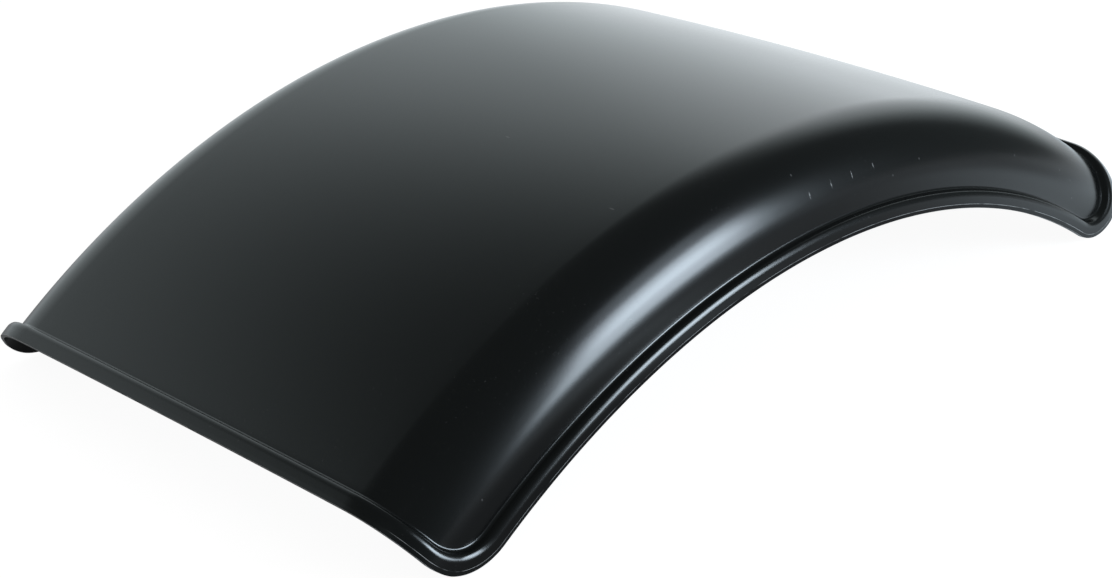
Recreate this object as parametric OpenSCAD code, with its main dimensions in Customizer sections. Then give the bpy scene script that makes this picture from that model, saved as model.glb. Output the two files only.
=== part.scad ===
// Truck mudguard: one moulded sheet that arches over the wheel, with a stepped rim all round.
// X runs along the truck, Y across it and Z is up. The part stands on its four corners. Millimetres.

/* [Arch] */
// Outer radius of the crown, from the wheel axis
crown_r = 640; // [500:5:800]
// Width of the sheet between the feet of the two side rims
width = 430; // [300:5:700]
// Angle from the top of the arch to the foot of each end rim
half_deg = 36.2; // [28:0.1:50]
// Height of the middle of the crown over its edges, a slight dome that sheds water
crown_rise = 5; // [3:0.5:12]
// Thickness of the moulded sheet
wall = 3; // [2:0.25:3.5]

/* [Sides] */
// Radius of the shoulder between the crown and each side face
shoulder_r = 51; // [30:1:80]
// Lean of the side faces, which lets the part leave its mould
side_draft = 5; // [2:1:20]
// Depth of the flat part of a side face, over the foot of its rim
side_flat = 8; // [2:1:14]
// Radius of the foot of the rim round each corner
corner_r = 27; // [16:1:40]

/* [Rim] */
// Height of the rim over the sheet
rim_h = 7; // [6:0.5:10]
// Lean of the rim's step, from square to the sheet
step_draft = 15; // [5:1:25]
// Round at the foot of the step
foot_r = 1.5; // [1:0.25:2.5]
// Round at the top of the step
top_r = 4; // [3.75:0.25:5]
// Distance from the foot of the step to the edge of the raised face
face_reach = 12; // [11.5:0.5:16]
// Round at the edge of the raised face
edge_r = 1.5; // [0.75:0.25:1.75]
// Drop from the raised face to the trimmed lip
lip_drop = 2.5; // [2:0.25:3]
// Width of the trimmed lip
lip_w = 4.5; // [3:0.5:8]

/* [Hidden] */
// Number of cuts that each curve is drawn with
arch_cuts = 24;
dome_cuts = 6;
shoulder_cuts = 7;
margin_cuts = 4;
corner_cuts = 7;
round_cuts = 3;

// Section across the arch, x is the radius from the wheel axis and y the distance from the middle.
// A wide dome arc runs into a shoulder arc, and that into the flat side face.
dome_r = pow(width / 2, 2) / (2 * crown_rise) + crown_rise / 2;
dome_c = [crown_r - dome_r, 0];
down = [-cos(side_draft), sin(side_draft)];
out = [sin(side_draft), cos(side_draft)];
shoulder_y = width / 2 - (shoulder_r * out + side_flat * down).y;
shoulder_c = [dome_c.x + sqrt(pow(dome_r - shoulder_r, 2) - pow(shoulder_y, 2)), shoulder_y];
dome_deg = asin(shoulder_y / (dome_r - shoulder_r));
face_top = shoulder_c + shoulder_r * out;

// Girth: how far a point is from the middle, measured over the sheet
function arc_length(r, deg) = r * deg * PI / 180;
function arc_deg(r, length) = length / r * 180 / PI;
dome_end = arc_length(dome_r, dome_deg);
face_start = dome_end + arc_length(shoulder_r, 90 - side_draft - dome_deg);
field_end = face_start + side_flat - corner_r;

// Direction square to the sheet at a girth, and the place there on its upper skin
function lean(g) = g < dome_end ? arc_deg(dome_r, g)
    : g < face_start ? dome_deg + arc_deg(shoulder_r, g - dome_end) : 90 - side_draft;
function square_to(g) = [cos(lean(g)), sin(lean(g))];
function on_section(g) = g < dome_end ? dome_c + dome_r * square_to(g)
    : g < face_start ? shoulder_c + shoulder_r * square_to(g) : face_top + (g - face_start) * down;

// A point of the part: turn is its angle round the wheel axis, along a distance from there over the sheet,
// girth its place across the arch, minus on the near side, and up its height over the upper skin
function in_arch(turn, along, girth, up) =
    let (g = abs(girth), p = on_section(g), q = p + up * square_to(g), t = turn + arc_deg(p.x, along))
    [q.x * sin(t), sign(girth) * q.y, q.x * cos(t)];

// Section of the rim as a line of points, x is the distance out from the foot of the step and y the height
// over the sheet. The line lies at a depth under the upper skin, and runs outward.
function arc(c, r, from, to) =
    [for (i = [0:round_cuts]) let (a = from + (to - from) * i / round_cuts) c + r * [cos(a), sin(a)]];
foot_c = [0, foot_r];
top_c = [foot_r * (1 - sin(step_draft)) / cos(step_draft) + top_r / cos(step_draft)
         + (rim_h - top_r) * tan(step_draft), rim_h - top_r];
function rim_line(depth) = concat(
    arc(foot_c, foot_r + depth, -90, -step_draft),
    arc(top_c, top_r - depth, 180 - step_draft, 90),
    depth < edge_r ? arc([face_reach - edge_r, rim_h - edge_r], edge_r - depth, 90, 0)
                   : [[face_reach - depth, rim_h - depth]],
    [[face_reach - depth, rim_h - lip_drop - depth], [face_reach + lip_w, rim_h - lip_drop - depth]]);
function backwards(list) = [for (i = [len(list) - 1:-1:0]) list[i]];
// The margin is the strip of sheet that leads up to the rim, as wide as the corner's radius
function margin(depth) = [for (i = [1:margin_cuts - 1]) [corner_r * (i / margin_cuts - 1), -depth]];
rim = concat(margin(0), rim_line(0), backwards(rim_line(wall)), backwards(margin(wall)));

// The field is the part of the sheet inside the margin. It is a grid of rows along the arch and columns
// across it, and the margin and the rim follow its edge, swinging round each corner.
half_girths = concat([for (i = [1:dome_cuts / 2]) dome_end * i / (dome_cuts / 2)],
                     [for (i = [1:shoulder_cuts]) dome_end + (field_end - dome_end) * i / shoulder_cuts]);
columns = concat(-backwards(half_girths), [0], half_girths);
rows = [for (i = [0:arch_cuts]) 2 * i / arch_cuts - 1];
last_col = len(columns) - 1;
last_row = len(rows) - 1;

// Stations round the edge of the field: a row, a column and the direction the rim faces
function corner_stations(row, col, from) = [for (i = [1:corner_cuts - 1]) [row, col, from + 90 * i / corner_cuts]];
stations = concat(
    [for (c = [0:last_col]) [last_row, c, 0]], corner_stations(last_row, last_col, 0),
    [for (r = [last_row:-1:0]) [r, last_col, 90]], corner_stations(0, last_col, 90),
    [for (c = [last_col:-1:0]) [0, c, 180]], corner_stations(0, 0, 180),
    [for (r = [0:last_row]) [r, 0, 270]], corner_stations(last_row, 0, 270));

// A point of the field, or of the rim when a station's direction takes it out from there
function at(row, col, up, reach = 0, dir = 0) =
    in_arch(rows[row] * half_deg, reach * cos(dir) - rows[row] * corner_r, columns[col] + reach * sin(dir), up);
function field(up) = [for (r = [0:last_row], c = [0:last_col]) at(r, c, up)];
rings = [for (p = rim, s = stations) at(s[0], s[1], p.y, corner_r + p.x, s[2])];
skin = concat(field(0), rings, field(-wall));
lowest = min([for (p = skin) p.z]);

// Faces, by number: the upper field comes first, then a ring for each point of the rim, then the lower field
grid = len(rows) * len(columns);
around = len(stations);
function field_no(row, col) = row * len(columns) + col;
function edge_no(n) = field_no(stations[n % around][0], stations[n % around][1]);
function ring_no(k, n) = grid + k * around + n % around;
function quad(a, b, c, d) = a == b ? [[a, c, d]] : c == d ? [[a, b, c]] : [[a, b, c], [a, c, d]];
lower = grid + len(rim) * around;
faces = [
    for (r = [0:last_row - 1], c = [0:last_col - 1])
        for (f = quad(field_no(r, c), field_no(r, c + 1), field_no(r + 1, c + 1), field_no(r + 1, c))) f,
    for (r = [0:last_row - 1], c = [0:last_col - 1])
        for (f = quad(field_no(r, c), field_no(r + 1, c), field_no(r + 1, c + 1), field_no(r, c + 1)))
            [for (v = f) v + lower],
    for (n = [0:around - 1])
        for (f = quad(edge_no(n), edge_no(n + 1), ring_no(0, n + 1), ring_no(0, n))) f,
    for (k = [0:len(rim) - 2], n = [0:around - 1])
        for (f = quad(ring_no(k, n), ring_no(k, n + 1), ring_no(k + 1, n + 1), ring_no(k + 1, n))) f,
    for (n = [0:around - 1])
        for (f = quad(ring_no(len(rim) - 1, n), ring_no(len(rim) - 1, n + 1),
                      lower + edge_no(n + 1), lower + edge_no(n))) f,
];

module mudguard() {
    color("dimgray") translate([0, 0, -lowest]) polyhedron(skin, faces, convexity = 6);
}

mudguard();
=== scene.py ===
# Truck mudguard of black moulded plastic, seen from above one of its four corners.
# Metres throughout. X runs along the truck, Y across it, Z up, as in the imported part.
import math

import bmesh
import bpy
from mathutils import Matrix, Vector


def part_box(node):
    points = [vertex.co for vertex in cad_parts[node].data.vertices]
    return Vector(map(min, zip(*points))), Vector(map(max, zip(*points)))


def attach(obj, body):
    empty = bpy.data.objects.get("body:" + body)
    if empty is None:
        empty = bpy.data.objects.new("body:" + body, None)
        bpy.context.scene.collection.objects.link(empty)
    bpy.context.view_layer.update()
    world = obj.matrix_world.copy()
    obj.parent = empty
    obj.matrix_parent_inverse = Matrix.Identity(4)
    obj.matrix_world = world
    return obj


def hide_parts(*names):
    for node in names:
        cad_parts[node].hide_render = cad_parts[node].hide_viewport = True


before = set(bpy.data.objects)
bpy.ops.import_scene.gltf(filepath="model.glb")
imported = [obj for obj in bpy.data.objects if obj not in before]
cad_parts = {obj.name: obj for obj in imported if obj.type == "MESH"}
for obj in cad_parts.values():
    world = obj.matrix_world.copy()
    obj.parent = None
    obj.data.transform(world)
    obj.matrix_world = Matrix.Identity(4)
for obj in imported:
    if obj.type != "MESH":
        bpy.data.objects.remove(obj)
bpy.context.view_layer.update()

# Sizes of the part, the same as in its source
CROWN_R = 0.640
WIDTH = 0.430
HALF_TURN = math.radians(36.2)
CROWN_RISE = 0.005
WALL = 0.003
SHOULDER_R = 0.051
SIDE_DRAFT = math.radians(5)
SIDE_FLAT = 0.008
CORNER_R = 0.027
RIM_H = 0.007
STEP_DRAFT = math.radians(15)
FOOT_R = 0.0015
TOP_R = 0.004
# The raised face and the lip are a little narrower than in the source, and the upper skin of the rim has
# finer rounds: the step runs out into a crease, and its brow into a crowned face
FACE_REACH = 0.0114
LIP_W = 0.0034
CREASE_R = 0.0021
BROW_R = 0.0026
BROW_TURN = math.radians(33)
FACE_CROWN_R = 0.0072
LIP_DIP = 0.0008  # how far the lip dips on the two side rims, but for the tenth its first round takes off
END_SHARE = 0.25  # on the two end rims it dips by this share of that
AXIS_DROP = CROWN_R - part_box("mudguard")[1][2]  # the wheel's axis lies this far under the floor


def add_object(name, data):
    """A mesh, lamp or camera, placed in the scene under its name."""
    made = bpy.data.objects.new(name, data)
    bpy.context.scene.collection.objects.link(made)
    return made


def add_mesh(name, bm):
    """A finished bmesh, placed in the scene as a mesh object."""
    mesh = bpy.data.meshes.new(name)
    bm.to_mesh(mesh)
    bm.free()
    return add_object(name, mesh)


def point(angle, r=1.0):
    """The place on a circle round zero at an angle from x."""
    return Vector((math.cos(angle), math.sin(angle))) * r


# Section across the arch: a wide dome arc, a shoulder arc and the flat side face
DOME_R = (WIDTH / 2) ** 2 / (2 * CROWN_RISE) + CROWN_RISE / 2
DOME_C = Vector((CROWN_R - DOME_R, 0))
DOWN = Vector((-math.cos(SIDE_DRAFT), math.sin(SIDE_DRAFT)))
OUT = Vector((math.sin(SIDE_DRAFT), math.cos(SIDE_DRAFT)))
SHOULDER_Y = WIDTH / 2 - (SHOULDER_R * OUT + SIDE_FLAT * DOWN).y
SHOULDER_C = Vector((DOME_C.x + math.sqrt((DOME_R - SHOULDER_R) ** 2 - SHOULDER_Y ** 2), SHOULDER_Y))
DOME_TURN = math.asin(SHOULDER_Y / (DOME_R - SHOULDER_R))
SHOULDER_TURN = math.pi / 2 - SIDE_DRAFT - DOME_TURN
DOME_END = DOME_R * DOME_TURN
FACE_START = DOME_END + SHOULDER_R * SHOULDER_TURN
FACE_TOP = SHOULDER_C + SHOULDER_R * OUT


def section(girth):
    """The place on the section and the direction square to it, at a distance from the middle over the sheet."""
    if girth < DOME_END:
        normal = point(girth / DOME_R)
        return DOME_C + DOME_R * normal, normal
    if girth < FACE_START:
        normal = point(DOME_TURN + (girth - DOME_END) / SHOULDER_R)
        return SHOULDER_C + SHOULDER_R * normal, normal
    return FACE_TOP + (girth - FACE_START) * DOWN, OUT


# The sheet is drawn flat first: x along it, y over its girth, z the height over its upper skin.
# Its core ends CORNER_R inside the foot of the rim.
CORE_X = CROWN_R * HALF_TURN - CORNER_R
CORE_Y = FACE_START + SIDE_FLAT - CORNER_R
START_R = 0.001  # the corners start this small and grow with the margin


def arch(flat):
    """Where a point of the flat sheet comes to lie on the finished arch."""
    along = max(-CORE_X, min(CORE_X, flat.x))
    place, normal = section(abs(flat.y))
    out = place + normal * flat.z
    turn = along / CORE_X * (HALF_TURN - CORNER_R / place.x) + (flat.x - along) / place.x
    return Vector((out.x * math.sin(turn), math.copysign(out.y, flat.y), out.x * math.cos(turn) - AXIS_DROP))


def arc(centre, r, start, end, cuts):
    """The places along an arc between two angles, both ends included."""
    return [Vector(centre) + point(start + (end - start) * i / cuts, r) for i in range(cuts + 1)]


# Cuts of the rim's rounds: foot and top of the step underneath, then crease, brow and face on the upper skin
FOOT_CUTS, TOP_CUTS = 6, 7
CREASE_CUTS, BROW_CUTS, FACE_CUTS = 8, 8, 12
# Places across the lip, as shares of its width, and the marks of those where a pale hairline runs
LIP_PLACES = (0, 0.1, 0.2, 0.35, 0.6, 0.9, 1)
LIP_ROUND = 0.2  # the dip starts with a round as wide as this share
RUBBED, CUT = 1, 2
LIP_MARKS = {0.1: RUBBED, 1: CUT}


def rim_line(depth):
    """The rim's section at a depth under the upper skin, from the crease outward. Each point has its distance
    from the step's foot, its height, its share of the lip's dip, and its mark if a pale hairline runs there."""
    sin, cos, tan = math.sin(STEP_DRAFT), math.cos(STEP_DRAFT), math.tan(STEP_DRAFT)
    upright = math.pi / 2
    if depth:
        top_x = (FOOT_R * (1 - sin) + TOP_R) / cos + (RIM_H - TOP_R) * tan
        line = arc((0, FOOT_R), FOOT_R + depth, -upright, -STEP_DRAFT, FOOT_CUTS)
        line += arc((top_x, RIM_H - TOP_R), TOP_R - depth, math.pi - STEP_DRAFT, upright, TOP_CUTS)
    else:
        crease = ((FOOT_R - CREASE_R) * (1 - sin) / cos, CREASE_R)
        face_h = RIM_H - FACE_CROWN_R
        brow_h = face_h + (FACE_CROWN_R - BROW_R) * math.cos(BROW_TURN)
        brow_x = (FOOT_R * (1 - sin) + BROW_R) / cos + brow_h * tan
        face_x = brow_x + (FACE_CROWN_R - BROW_R) * math.sin(BROW_TURN)
        turn = upright + BROW_TURN
        line = arc(crease, CREASE_R, -upright, -STEP_DRAFT, CREASE_CUTS)
        line += arc((brow_x, brow_h), BROW_R, math.pi - STEP_DRAFT, turn, BROW_CUTS)
        line += arc((face_x, face_h), FACE_CROWN_R, turn, upright, FACE_CUTS)[1:]
    points = [(p, 0, 0) for p in line]
    for t in LIP_PLACES:
        dip = t * t / (2 * LIP_ROUND) if t < LIP_ROUND else t - LIP_ROUND / 2
        mark = 0 if depth else LIP_MARKS.get(t, 0)
        points.append((Vector((FACE_REACH + LIP_W * t, RIM_H - depth)), dip, mark))
    return points


def steps(places, cuts):
    """Each gap between two places cut into equal steps."""
    out = [places[0]]
    for a, b, n in zip(places, places[1:], cuts):
        out += [a + (b - a) * i / n for i in range(1, n + 1)]
    return out


# Cuts along the core, over each third of its girth, round each corner and across the margin
ROWS, COLUMNS, CORNER_CUTS, MARGIN_CUTS = 96, 24, 24, 8
WELD = 2e-5  # points closer than this are one
CREASE_ANGLE = math.radians(35)  # edges sharper than this aren't smoothed


def flat_core(bm):
    """The core of the upper skin, still flat, as a grid with four small round corners."""
    xs = steps([-CORE_X - START_R, -CORE_X, CORE_X, CORE_X + START_R], [1, ROWS, 1])
    ys = steps([-CORE_Y - START_R, -CORE_Y, -DOME_END, DOME_END, CORE_Y, CORE_Y + START_R],
               [1, COLUMNS, COLUMNS, COLUMNS, 1])
    nx, ny = len(xs) - 1, len(ys) - 1
    bmesh.ops.create_grid(bm, x_segments=nx, y_segments=ny, size=0.5)
    for v in bm.verts:
        v.co = (xs[round((v.co.x + 0.5) * nx)], ys[round((v.co.y + 0.5) * ny)], 0)
    corners = [v for v in bm.verts if len(v.link_edges) == 2]
    bmesh.ops.bevel(bm, geom=corners, offset=START_R, offset_type="OFFSET", segments=CORNER_CUTS,
                    profile=0.5, affect="VERTICES", material=-1, clamp_overlap=False)
    bmesh.ops.remove_doubles(bm, verts=bm.verts, dist=WELD)


def under_core(bm):
    """The same core again, a wall's thickness lower and facing down."""
    copy = bmesh.ops.duplicate(bm, geom=list(bm.faces) + list(bm.edges) + list(bm.verts))["geom"]
    for g in copy:
        if isinstance(g, bmesh.types.BMVert):
            g.co.z = -WALL
    bmesh.ops.reverse_faces(bm, faces=[g for g in copy if isinstance(g, bmesh.types.BMFace)])


def grow_rim(bm, edge):
    """The margin and the rim, grown one ring at a time from the core's edge and back under themselves."""
    margin = [CORNER_R * (i / MARGIN_CUTS - 1) for i in range(1, MARGIN_CUTS)]
    rim = [(Vector((x, 0)), 0, 0) for x in margin] + rim_line(0) + rim_line(WALL)[::-1]
    rim += [(Vector((x, -WALL)), 0, 0) for x in margin[::-1] + [START_R - CORNER_R]]
    rubbed, cut = (bm.verts.layers.float.new(name) for name in ("rubbed_line", "cut_edge"))
    for p, dip, mark in rim:
        grown = bmesh.ops.extrude_edge_only(bm, edges=edge)["geom"]
        for v in (g for g in grown if isinstance(g, bmesh.types.BMVert)):
            base = Vector((max(-CORE_X, min(CORE_X, v.co.x)), max(-CORE_Y, min(CORE_Y, v.co.y))))
            out = (v.co.xy - base).normalized()
            spot = base + out * (CORNER_R + p.x)
            fall = LIP_DIP * (1 + (END_SHARE - 1) * out.x ** 2)
            v.co = (spot.x, spot.y, p.y - dip * fall)
            v[rubbed], v[cut] = float(mark == RUBBED), float(mark == CUT)
        edge = [g for g in grown if isinstance(g, bmesh.types.BMEdge)]


def moulded_sheet():
    """The whole part: drawn flat, then bent onto the arch."""
    bm = bmesh.new()
    flat_core(bm)
    edge = [e for e in bm.edges if e.is_boundary]
    under_core(bm)
    grow_rim(bm, edge)
    bmesh.ops.remove_doubles(bm, verts=bm.verts, dist=WELD)
    bmesh.ops.triangulate(bm, faces=[f for f in bm.faces if len(f.verts) > 4])
    for v in bm.verts:
        v.co = arch(v.co)
    bmesh.ops.recalc_face_normals(bm, faces=bm.faces)
    for e in bm.edges:
        e.smooth = len(e.link_faces) == 2 and e.calc_face_angle() < CREASE_ANGLE
    for f in bm.faces:
        f.smooth = True
    return add_mesh("mudguard_sheet", bm)


sheet = moulded_sheet()
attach(sheet, "root")
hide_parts("mudguard")


# Shader maths as plain expressions
class Wire:
    """One output of a node, or with none given the start of a tree."""
    def __init__(self, tree, socket=None):
        self.tree, self.socket = tree, socket

    def node(self, kind, settings={}, take=0, **sockets):
        made = self.tree.nodes.new(kind)
        for name, value in settings.items():
            if name == "stops":
                ramp = made.color_ramp
                for i, (place, level) in enumerate(value):
                    stop = ramp.elements[i] if i < 2 else ramp.elements.new(place)
                    stop.position, stop.color = place, (level, level, level, 1)
            else:
                setattr(made, name, value)
        for name, value in sockets.items():
            slot = made.inputs[int(name[2:]) if name[2:].isdigit() else name.replace("_", " ")]
            if isinstance(value, Wire):
                self.tree.links.new(value.socket, slot)
            else:
                slot.default_value = value
        return Wire(self.tree, made.outputs[take] if made.outputs else None)

    def maths(self, operation, a, b=0.0):
        return self.node("ShaderNodeMath", {"operation": operation}, in0=a, in1=b)

    def __add__(self, other): return self.maths("ADD", self, other)
    def __radd__(self, other): return self.maths("ADD", other, self)
    def __sub__(self, other): return self.maths("SUBTRACT", self, other)
    def __rsub__(self, other): return self.maths("SUBTRACT", other, self)
    def __mul__(self, other): return self.maths("MULTIPLY", self, other)
    def __rmul__(self, other): return self.maths("MULTIPLY", other, self)
    def __truediv__(self, other): return self.maths("DIVIDE", self, other)

    def eased(self, start, end):
        """0 below start, 1 past end, and a soft step between them."""
        return self.node("ShaderNodeMapRange", {"interpolation_type": "SMOOTHSTEP"},
                         Value=self, From_Min=start, From_Max=end)

    def ramp(self, *stops):
        return self.node("ShaderNodeValToRGB", {"stops": stops}, take="Color", Fac=self)

    def tint(self, low, high):
        """A colour that runs from low to high as this value goes from 0 to 1."""
        return self.node("ShaderNodeMix", {"data_type": "RGBA"}, take=2, in0=self, in6=low, in7=high)

    def bearing(self):
        """The share of a full turn that this direction or place lies round the part, from its left end
        at 0 by its near side at 0.25 and its right end at 0.5 to its far side at 0.75."""
        x, y = (self.node("ShaderNodeSeparateXYZ", take=axis, Vector=self) for axis in "XY")
        return self.maths("FRACT", self.maths("ARCTAN2", x, y * -1) / math.tau + 0.25)


def fresh_tree(owner):
    """The emptied node tree of a material or a world."""
    owner.use_nodes = True
    owner.node_tree.nodes.clear()
    return Wire(owner.node_tree)


# Marks on the near side: short upright ticks in a row along the shoulder, and small pale specks
TICKS = [(-0.0137, -0.2108, 0.1406), (0.0095, -0.2104, 0.1416), (0.0323, -0.2102, 0.1413),
         (0.0566, -0.2098, 0.1404)]
TICK_REACH = (0.0007, 0.01, 0.0036)
SPECKS = [(0.3092, -0.2140, 0.0405), (0.2315, -0.2098, 0.0972), (0.3092, -0.2113, 0.0542),
          (0.2955, -0.2098, 0.0663), (0.1087, -0.2108, 0.1309), (-0.0227, -0.2016, 0.1551),
          (0.0755, -0.2131, 0.1288), (-0.3221, -0.2129, 0.0401), (-0.1161, -0.0305, 0.1648),
          (-0.1456, -0.1545, 0.1561)]
SPECK_REACH = (0.0008, 0.003, 0.001)
BLACK = (0.0033, 0.0036, 0.0036, 1)
WHITE = (1, 1, 1, 1)
SIDE_RIM_FROM, SIDE_RIM_TO = 0.195, 0.21  # from here outward a rim counts as a side rim


def black_plastic():
    """Glossy black moulded plastic, with a fine grain, faintly cloudy gloss, rubbed edges, marks and dust."""
    mat = bpy.data.materials.new("black_moulded_plastic")
    tree = fresh_tree(mat)
    where = tree.node("ShaderNodeTexCoord", take="Object")

    def noise(scale, detail=3.0):
        return tree.node("ShaderNodeTexNoise", Vector=where, Scale=scale, Detail=detail)

    def spot(centre, reach):
        """1 in the middle of a small mark, 0 outside it."""
        away = tree.node("ShaderNodeVectorMath", {"operation": "SUBTRACT"}, in0=where, in1=centre)
        away = tree.node("ShaderNodeVectorMath", {"operation": "DIVIDE"}, in0=away, in1=reach)
        far = tree.node("ShaderNodeVectorMath", {"operation": "LENGTH"}, take="Value", in0=away)
        return 1 - far.eased(0.4, 1)

    def line_of(name):
        """1 along one of the sheet's marked rings, 0 beside it."""
        return tree.node("ShaderNodeAttribute", {"attribute_name": name}, take="Fac").eased(0.3, 0.9)

    ticks = sum(spot(c, TICK_REACH) for c in TICKS) * noise(700.0).eased(0.35, 0.65)
    specks = sum(spot(c, SPECK_REACH) for c in SPECKS)
    # a broken pale hairline runs along the two side rims, and the cut edge is pale all round
    across = tree.node("ShaderNodeSeparateXYZ", take="Y", Vector=where)
    on_side = tree.maths("ABSOLUTE", across).eased(SIDE_RIM_FROM, SIDE_RIM_TO)
    unbroken = noise(60.0).eased(0.3, 0.55)
    hairline = (line_of("rubbed_line") * on_side + line_of("cut_edge")) * unbroken
    # fine grains of dust lie thinly over parts of the sheet
    dust = noise(620.0, 1.0).eased(0.68, 0.8) * noise(14.0).eased(0.4, 0.7)
    pale = ticks * 0.2 + specks * 0.05 + hairline * 0.34 + dust * 0.03
    cloud = noise(7.0, 4.0) - 0.5
    grain = tree.node("ShaderNodeBump", Height=noise(900.0, 2.0), Strength=0.05, Distance=0.0002)
    shader = tree.node("ShaderNodeBsdfPrincipled", Base_Color=pale.tint(BLACK, WHITE), IOR=1.5,
                       Roughness=0.2 + cloud * 0.04 + pale * 0.6, Normal=grain)
    tree.node("ShaderNodeOutputMaterial", Surface=shader)
    return mat


sheet.data.materials.append(black_plastic())

# Camera, where the photograph was taken from
CAM_AT = Vector((-1.14303, -1.08496, 1.19335 - AXIS_DROP))
AZIMUTH, ELEVATION, ROLL = math.radians(-45.460), math.radians(24.747), math.radians(-0.902)
FILM_MM, LENS_MM = 36, 75.01


def add_camera():
    back = Vector((math.sin(AZIMUTH) * math.cos(ELEVATION), -math.cos(AZIMUTH) * math.cos(ELEVATION),
                   math.sin(ELEVATION)))
    right = Vector((math.cos(AZIMUTH), math.sin(AZIMUTH), 0))
    up = back.cross(right)
    right, up = (right * math.cos(ROLL) + up * math.sin(ROLL), up * math.cos(ROLL) - right * math.sin(ROLL))
    lens = bpy.data.cameras.new("camera")
    lens.sensor_width, lens.lens = FILM_MM, LENS_MM
    camera = add_object("camera", lens)
    camera.matrix_world = Matrix.Translation(CAM_AT) @ Matrix((right, up, back)).transposed().to_4x4()
    bpy.context.scene.camera = camera


add_camera()

# The studio: a pale floor, a wall round it and soft light. The wall is white past the part's right end, less
# so along its far side and dim beyond its left end, and the near side is a dim room. Each stop is a bearing
# round the part and the level there.
WALL_ROUND = ((0, 0.3), (0.11, 0.3), (0.16, 0), (0.49, 0), (0.52, 0.34), (0.544, 0.72), (0.586, 1),
              (0.628, 0.58), (0.694, 0.55), (0.806, 0.47), (0.87, 0.3), (1, 0.3))
FAR_FLOOR = ((0, 0.15), (0.20, 0.1), (0.25, 0), (0.42, 0), (0.45, 0.25), (0.50, 0.4), (0.544, 0.95), (0.586, 1),
             (0.628, 0.9), (0.694, 0.65), (0.85, 0.3), (1, 0.15))
NEAR_FLOOR = ((0.19, 0), (0.225, 0.16), (0.262, 0.5), (0.283, 0.3), (0.31, 0.12), (0.345, 0.07), (0.367, 0.18),
              (0.383, 0.38), (0.40, 0.57), (0.435, 0.66), (0.47, 0.5), (0.51, 0))
# Distances from the middle of the floor between which its glow comes up or goes down
FAR_RISE, NEAR_RISE, NEAR_FALL = (0.3, 0.6), (0.28, 0.5), (0.58, 1.0)
NEAR_LOSS = 0.75  # the share of the near glow that goes
WALL_TOP = (0.47, 0.83)  # the wall ends softly between these, as the height of a direction of length 1
# How bright the wall, the floor and the dim room are where the plastic mirrors them
WALL_LEVEL, FLOOR_LEVEL, ROOM_LEVEL = 1.65, 1.3, 0.11
FLOOR_SEEN = 0.94  # how bright the floor itself looks, beside what lights it
PLAIN_LEVEL = 0.5  # what lights the colours themselves, the same from every side
COOL_WHITE = (0.93, 1.0, 1.04, 1)
COOL_DIM = (0.85, 1.0, 1.02, 1)
COOL_GREY = (0.86, 1.0, 1.09, 1)
FLOOR_GREY = (0.16, 0.16, 0.16, 1)
FLOOR_HALF = 12
LAMP_TINT = (0.85, 1.0, 1.13)


def ways_to_see(tree):
    """1 where something is seen directly, and 1 where it is seen mirrored in the plastic."""
    return [tree.node("ShaderNodeLightPath", take=name) for name in ("Is Camera Ray", "Is Glossy Ray")]


def pale_floor():
    """A floor that looks white and throws two soft glows, a far one and a near one, into the plastic."""
    mat = bpy.data.materials.new("pale_floor")
    tree = fresh_tree(mat)
    place = tree.node("ShaderNodeTexCoord", take="Object")
    reach = tree.node("ShaderNodeVectorMath", {"operation": "LENGTH"}, take="Value", in0=place)
    bearing = place.bearing()
    far_side = bearing.ramp(*FAR_FLOOR) * reach.eased(*FAR_RISE)
    near_side = bearing.ramp(*NEAR_FLOOR) * (reach.eased(*NEAR_RISE) - reach.eased(*NEAR_FALL) * NEAR_LOSS)
    seen, mirrored = ways_to_see(tree)
    tint = near_side.eased(0, 0.3).tint(COOL_WHITE, COOL_GREY)
    glow = tree.node("ShaderNodeEmission", Color=mirrored.tint(WHITE, tint),
                     Strength=seen * FLOOR_SEEN + mirrored * (far_side + near_side) * FLOOR_LEVEL)
    lit = tree.node("ShaderNodeBsdfDiffuse", Color=FLOOR_GREY)
    tree.node("ShaderNodeOutputMaterial", Surface=tree.node("ShaderNodeAddShader", in0=lit, in1=glow))
    return mat


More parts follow.
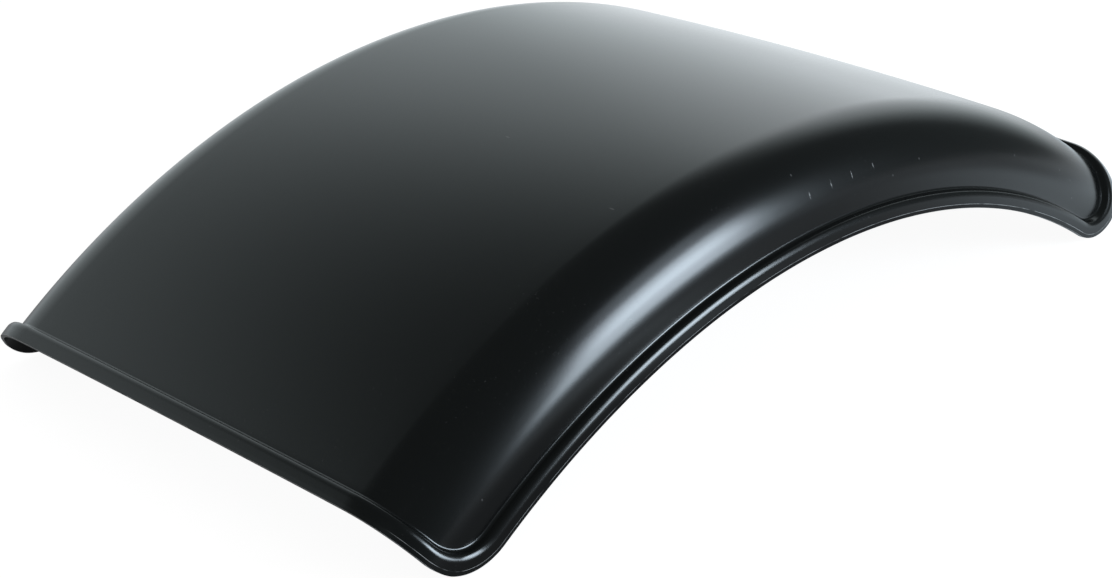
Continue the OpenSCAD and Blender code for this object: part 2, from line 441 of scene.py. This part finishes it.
def studio_floor():
    bm = bmesh.new()
    bmesh.ops.create_grid(bm, x_segments=1, y_segments=1, size=FLOOR_HALF)
    floor = add_mesh("floor", bm)
    floor.data.materials.append(pale_floor())
    return floor


studio_floor()


def studio_world():
    """The wall and the dim room, as the plastic mirrors them, and plain white to the camera."""
    world = bpy.data.worlds.new("studio")
    bpy.context.scene.world = world
    world.cycles.sampling_method = "NONE"
    tree = fresh_tree(world)
    direction = tree.node("ShaderNodeTexCoord", take="Generated")
    height = tree.node("ShaderNodeSeparateXYZ", take="Z", Vector=direction)
    wall = direction.bearing().ramp(*WALL_ROUND) * (1 - height.eased(*WALL_TOP))
    seen, mirrored = ways_to_see(tree)
    room = wall * WALL_LEVEL + ROOM_LEVEL
    shade = tree.node("ShaderNodeBackground", Color=mirrored.tint(WHITE, wall.tint(COOL_DIM, COOL_WHITE)),
                      Strength=seen + mirrored * room + (1 - seen - mirrored) * PLAIN_LEVEL)
    tree.node("ShaderNodeOutputWorld", Surface=shade)


studio_world()


def soft_box(name, turn, distance, low, high, width, level):
    """A standing soft box that faces the part, at a turn in degrees from the near side to the right end.
    Its level is how bright its face is, where 1 is white."""
    light = bpy.data.lights.new(name, "AREA")
    light.shape = "RECTANGLE"
    light.size, light.size_y = width, high - low
    light.energy = level * math.pi * width * (high - low)
    light.color = LAMP_TINT
    lamp = add_object(name, light)
    away = Vector((math.sin(math.radians(turn)), -math.cos(math.radians(turn)), 0))
    lamp.location = away * distance + Vector((0, 0, (low + high) / 2))
    lamp.rotation_euler = away.to_track_quat("Z", "Y").to_euler()


# One soft box that fades outward from a bright middle, made as three, each before the last. Each has a name,
# distance, lower edge, upper edge, width and level.
SIDE_BOX_TURN = 24
for name, *sizes in (("side_box", 2.20, 0.02, 2.10, 0.98, 2),
                     ("side_box_middle", 2.19, 0.19, 1.32, 0.86, 9.5),
                     ("side_box_core", 2.18, 0.58, 1.00, 0.74, 6)):
    soft_box(name, SIDE_BOX_TURN, *sizes)

bpy.context.scene.view_settings.view_transform = "Standard"
